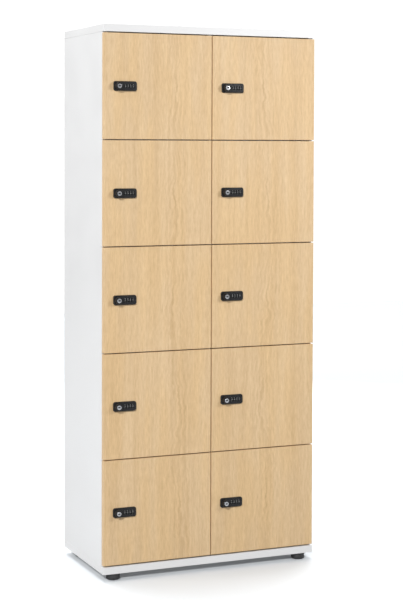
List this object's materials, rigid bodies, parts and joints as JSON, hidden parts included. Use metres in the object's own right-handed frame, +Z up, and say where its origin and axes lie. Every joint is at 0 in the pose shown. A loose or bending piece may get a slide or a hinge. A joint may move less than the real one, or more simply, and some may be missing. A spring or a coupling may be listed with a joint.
{
  "type": "locker cabinet",
  "caption": "Free-standing personal locker cabinet with hinged doors in two columns, each closed by a combination cam lock with a turning knob.",
  "frame": {"origin": "on the floor, under the middle of the whole object's box", "axes": "+Z up, -Y out of the doors, +X to the right of someone facing the doors"},
  "size_m": [0.8, 0.444, 1.9],
  "materials": {
    "white_melamine": "satin white melamine on particle board",
    "oak": "satin light oak with vertical grain and matching edge band",
    "lock_black": "satin black die-cast",
    "dial_black": "semi-gloss black with white digits",
    "foot_plastic": "matt black plastic",
    "lock_steel": "satin nickel lock core",
    "hinge_steel": "nickel-plated pressed steel",
    "digit_white": "matt white print",
    "buffer_clear": "cloudy clear soft polyurethane"
  },
  "bodies": {
    "root": {"top_panel": "white_melamine", "bottom_panel": "white_melamine", "left_side_panel": "white_melamine", "right_side_panel": "white_melamine", "centre_partition": "white_melamine", "back_panel": "white_melamine", "shelf_left_1": "white_melamine", "shelf_left_2": "white_melamine", "shelf_left_3": "white_melamine", "shelf_left_4": "white_melamine", "shelf_right_1": "white_melamine", "shelf_right_2": "white_melamine", "shelf_right_3": "white_melamine", "shelf_right_4": "white_melamine", "foot_front_left": "foot_plastic", "foot_front_right": "foot_plastic", "foot_back_left": "foot_plastic", "foot_back_right": "foot_plastic"},
    "door_left_1": {"door_left_1": "oak", "lock_housing_left_1": "lock_black"},
    "lock_knob_left_1": {"lock_knob_left_1": "lock_black"},
    "lock_dials_left_1": {"lock_dials_left_1": "dial_black"},
    "door_left_2": {"door_left_2": "oak", "lock_housing_left_2": "lock_black"},
    "lock_knob_left_2": {"lock_knob_left_2": "lock_black"},
    "lock_dials_left_2": {"lock_dials_left_2": "dial_black"},
    "door_left_3": {"door_left_3": "oak", "lock_housing_left_3": "lock_black"},
    "lock_knob_left_3": {"lock_knob_left_3": "lock_black"},
    "lock_dials_left_3": {"lock_dials_left_3": "dial_black"},
    "door_left_4": {"door_left_4": "oak", "lock_housing_left_4": "lock_black"},
    "lock_knob_left_4": {"lock_knob_left_4": "lock_black"},
    "lock_dials_left_4": {"lock_dials_left_4": "dial_black"},
    "door_left_5": {"door_left_5": "oak", "lock_housing_left_5": "lock_black"},
    "lock_knob_left_5": {"lock_knob_left_5": "lock_black"},
    "lock_dials_left_5": {"lock_dials_left_5": "dial_black"},
    "door_right_1": {"door_right_1": "oak", "lock_housing_right_1": "lock_black"},
    "lock_knob_right_1": {"lock_knob_right_1": "lock_black"},
    "lock_dials_right_1": {"lock_dials_right_1": "dial_black"},
    "door_right_2": {"door_right_2": "oak", "lock_housing_right_2": "lock_black"},
    "lock_knob_right_2": {"lock_knob_right_2": "lock_black"},
    "lock_dials_right_2": {"lock_dials_right_2": "dial_black"},
    "door_right_3": {"door_right_3": "oak", "lock_housing_right_3": "lock_black"},
    "lock_knob_right_3": {"lock_knob_right_3": "lock_black"},
    "lock_dials_right_3": {"lock_dials_right_3": "dial_black"},
    "door_right_4": {"door_right_4": "oak", "lock_housing_right_4": "lock_black"},
    "lock_knob_right_4": {"lock_knob_right_4": "lock_black"},
    "lock_dials_right_4": {"lock_dials_right_4": "dial_black"},
    "door_right_5": {"door_right_5": "oak", "lock_housing_right_5": "lock_black"},
    "lock_knob_right_5": {"lock_knob_right_5": "lock_black"},
    "lock_dials_right_5": {"lock_dials_right_5": "dial_black"}
  },
  "joints": [
    {"name": "door_left_1_hinge", "type": "hinge", "parent": "root", "child": "door_left_1", "pos_m": [-0.002, -0.198, 1.6909], "axis": [0, 0, 1], "range_deg": [0, 110]},
    {"name": "lock_knob_left_1_turn", "type": "hinge", "parent": "door_left_1", "child": "lock_knob_left_1", "pos_m": [-0.3505, -0.222, 1.6909], "axis": [0, 1, 0], "range_deg": [0, 90]},
    {"name": "lock_dials_left_1_turn", "type": "hinge", "parent": "door_left_1", "child": "lock_dials_left_1", "pos_m": [-0.30975, -0.1966, 1.6909], "axis": [1, 0, 0], "continuous": true},
    {"name": "door_left_2_hinge", "type": "hinge", "parent": "root", "child": "door_left_2", "pos_m": [-0.002, -0.198, 1.3267], "axis": [0, 0, 1], "range_deg": [0, 110]},
    {"name": "lock_knob_left_2_turn", "type": "hinge", "parent": "door_left_2", "child": "lock_knob_left_2", "pos_m": [-0.3505, -0.222, 1.3267], "axis": [0, 1, 0], "range_deg": [0, 90]},
    {"name": "lock_dials_left_2_turn", "type": "hinge", "parent": "door_left_2", "child": "lock_dials_left_2", "pos_m": [-0.30975, -0.1966, 1.3267], "axis": [1, 0, 0], "continuous": true},
    {"name": "door_left_3_hinge", "type": "hinge", "parent": "root", "child": "door_left_3", "pos_m": [-0.002, -0.198, 0.9625], "axis": [0, 0, 1], "range_deg": [0, 110]},
    {"name": "lock_knob_left_3_turn", "type": "hinge", "parent": "door_left_3", "child": "lock_knob_left_3", "pos_m": [-0.3505, -0.222, 0.9625], "axis": [0, 1, 0], "range_deg": [0, 90]},
    {"name": "lock_dials_left_3_turn", "type": "hinge", "parent": "door_left_3", "child": "lock_dials_left_3", "pos_m": [-0.30975, -0.1966, 0.9625], "axis": [1, 0, 0], "continuous": true},
    {"name": "door_left_4_hinge", "type": "hinge", "parent": "root", "child": "door_left_4", "pos_m": [-0.002, -0.198, 0.5983], "axis": [0, 0, 1], "range_deg": [0, 110]},
    {"name": "lock_knob_left_4_turn", "type": "hinge", "parent": "door_left_4", "child": "lock_knob_left_4", "pos_m": [-0.3505, -0.222, 0.5983], "axis": [0, 1, 0], "range_deg": [0, 90]},
    {"name": "lock_dials_left_4_turn", "type": "hinge", "parent": "door_left_4", "child": "lock_dials_left_4", "pos_m": [-0.30975, -0.1966, 0.5983], "axis": [1, 0, 0], "continuous": true},
    {"name": "door_left_5_hinge", "type": "hinge", "parent": "root", "child": "door_left_5", "pos_m": [-0.002, -0.198, 0.2341], "axis": [0, 0, 1], "range_deg": [0, 110]},
    {"name": "lock_knob_left_5_turn", "type": "hinge", "parent": "door_left_5", "child": "lock_knob_left_5", "pos_m": [-0.3505, -0.222, 0.2341], "axis": [0, 1, 0], "range_deg": [0, 90]},
    {"name": "lock_dials_left_5_turn", "type": "hinge", "parent": "door_left_5", "child": "lock_dials_left_5", "pos_m": [-0.30975, -0.1966, 0.2341], "axis": [1, 0, 0], "continuous": true},
    {"name": "door_right_1_hinge", "type": "hinge", "parent": "root", "child": "door_right_1", "pos_m": [0.399, -0.198, 1.6909], "axis": [0, 0, 1], "range_deg": [0, 110]},
    {"name": "lock_knob_right_1_turn", "type": "hinge", "parent": "door_right_1", "child": "lock_knob_right_1", "pos_m": [0.0505, -0.222, 1.6909], "axis": [0, 1, 0], "range_deg": [0, 90]},
    {"name": "lock_dials_right_1_turn", "type": "hinge", "parent": "door_right_1", "child": "lock_dials_right_1", "pos_m": [0.09125, -0.1966, 1.6909], "axis": [1, 0, 0], "continuous": true},
    {"name": "door_right_2_hinge", "type": "hinge", "parent": "root", "child": "door_right_2", "pos_m": [0.399, -0.198, 1.3267], "axis": [0, 0, 1], "range_deg": [0, 110]},
    {"name": "lock_knob_right_2_turn", "type": "hinge", "parent": "door_right_2", "child": "lock_knob_right_2", "pos_m": [0.0505, -0.222, 1.3267], "axis": [0, 1, 0], "range_deg": [0, 90]},
    {"name": "lock_dials_right_2_turn", "type": "hinge", "parent": "door_right_2", "child": "lock_dials_right_2", "pos_m": [0.09125, -0.1966, 1.3267], "axis": [1, 0, 0], "continuous": true},
    {"name": "door_right_3_hinge", "type": "hinge", "parent": "root", "child": "door_right_3", "pos_m": [0.399, -0.198, 0.9625], "axis": [0, 0, 1], "range_deg": [0, 110]},
    {"name": "lock_knob_right_3_turn", "type": "hinge", "parent": "door_right_3", "child": "lock_knob_right_3", "pos_m": [0.0505, -0.222, 0.9625], "axis": [0, 1, 0], "range_deg": [0, 90]},
    {"name": "lock_dials_right_3_turn", "type": "hinge", "parent": "door_right_3", "child": "lock_dials_right_3", "pos_m": [0.09125, -0.1966, 0.9625], "axis": [1, 0, 0], "continuous": true},
    {"name": "door_right_4_hinge", "type": "hinge", "parent": "root", "child": "door_right_4", "pos_m": [0.399, -0.198, 0.5983], "axis": [0, 0, 1], "range_deg": [0, 110]},
    {"name": "lock_knob_right_4_turn", "type": "hinge", "parent": "door_right_4", "child": "lock_knob_right_4", "pos_m": [0.0505, -0.222, 0.5983], "axis": [0, 1, 0], "range_deg": [0, 90]},
    {"name": "lock_dials_right_4_turn", "type": "hinge", "parent": "door_right_4", "child": "lock_dials_right_4", "pos_m": [0.09125, -0.1966, 0.5983], "axis": [1, 0, 0], "continuous": true},
    {"name": "door_right_5_hinge", "type": "hinge", "parent": "root", "child": "door_right_5", "pos_m": [0.399, -0.198, 0.2341], "axis": [0, 0, 1], "range_deg": [0, 110]},
    {"name": "lock_knob_right_5_turn", "type": "hinge", "parent": "door_right_5", "child": "lock_knob_right_5", "pos_m": [0.0505, -0.222, 0.2341], "axis": [0, 1, 0], "range_deg": [0, 90]},
    {"name": "lock_dials_right_5_turn", "type": "hinge", "parent": "door_right_5", "child": "lock_dials_right_5", "pos_m": [0.09125, -0.1966, 0.2341], "axis": [1, 0, 0], "continuous": true}
  ]
}
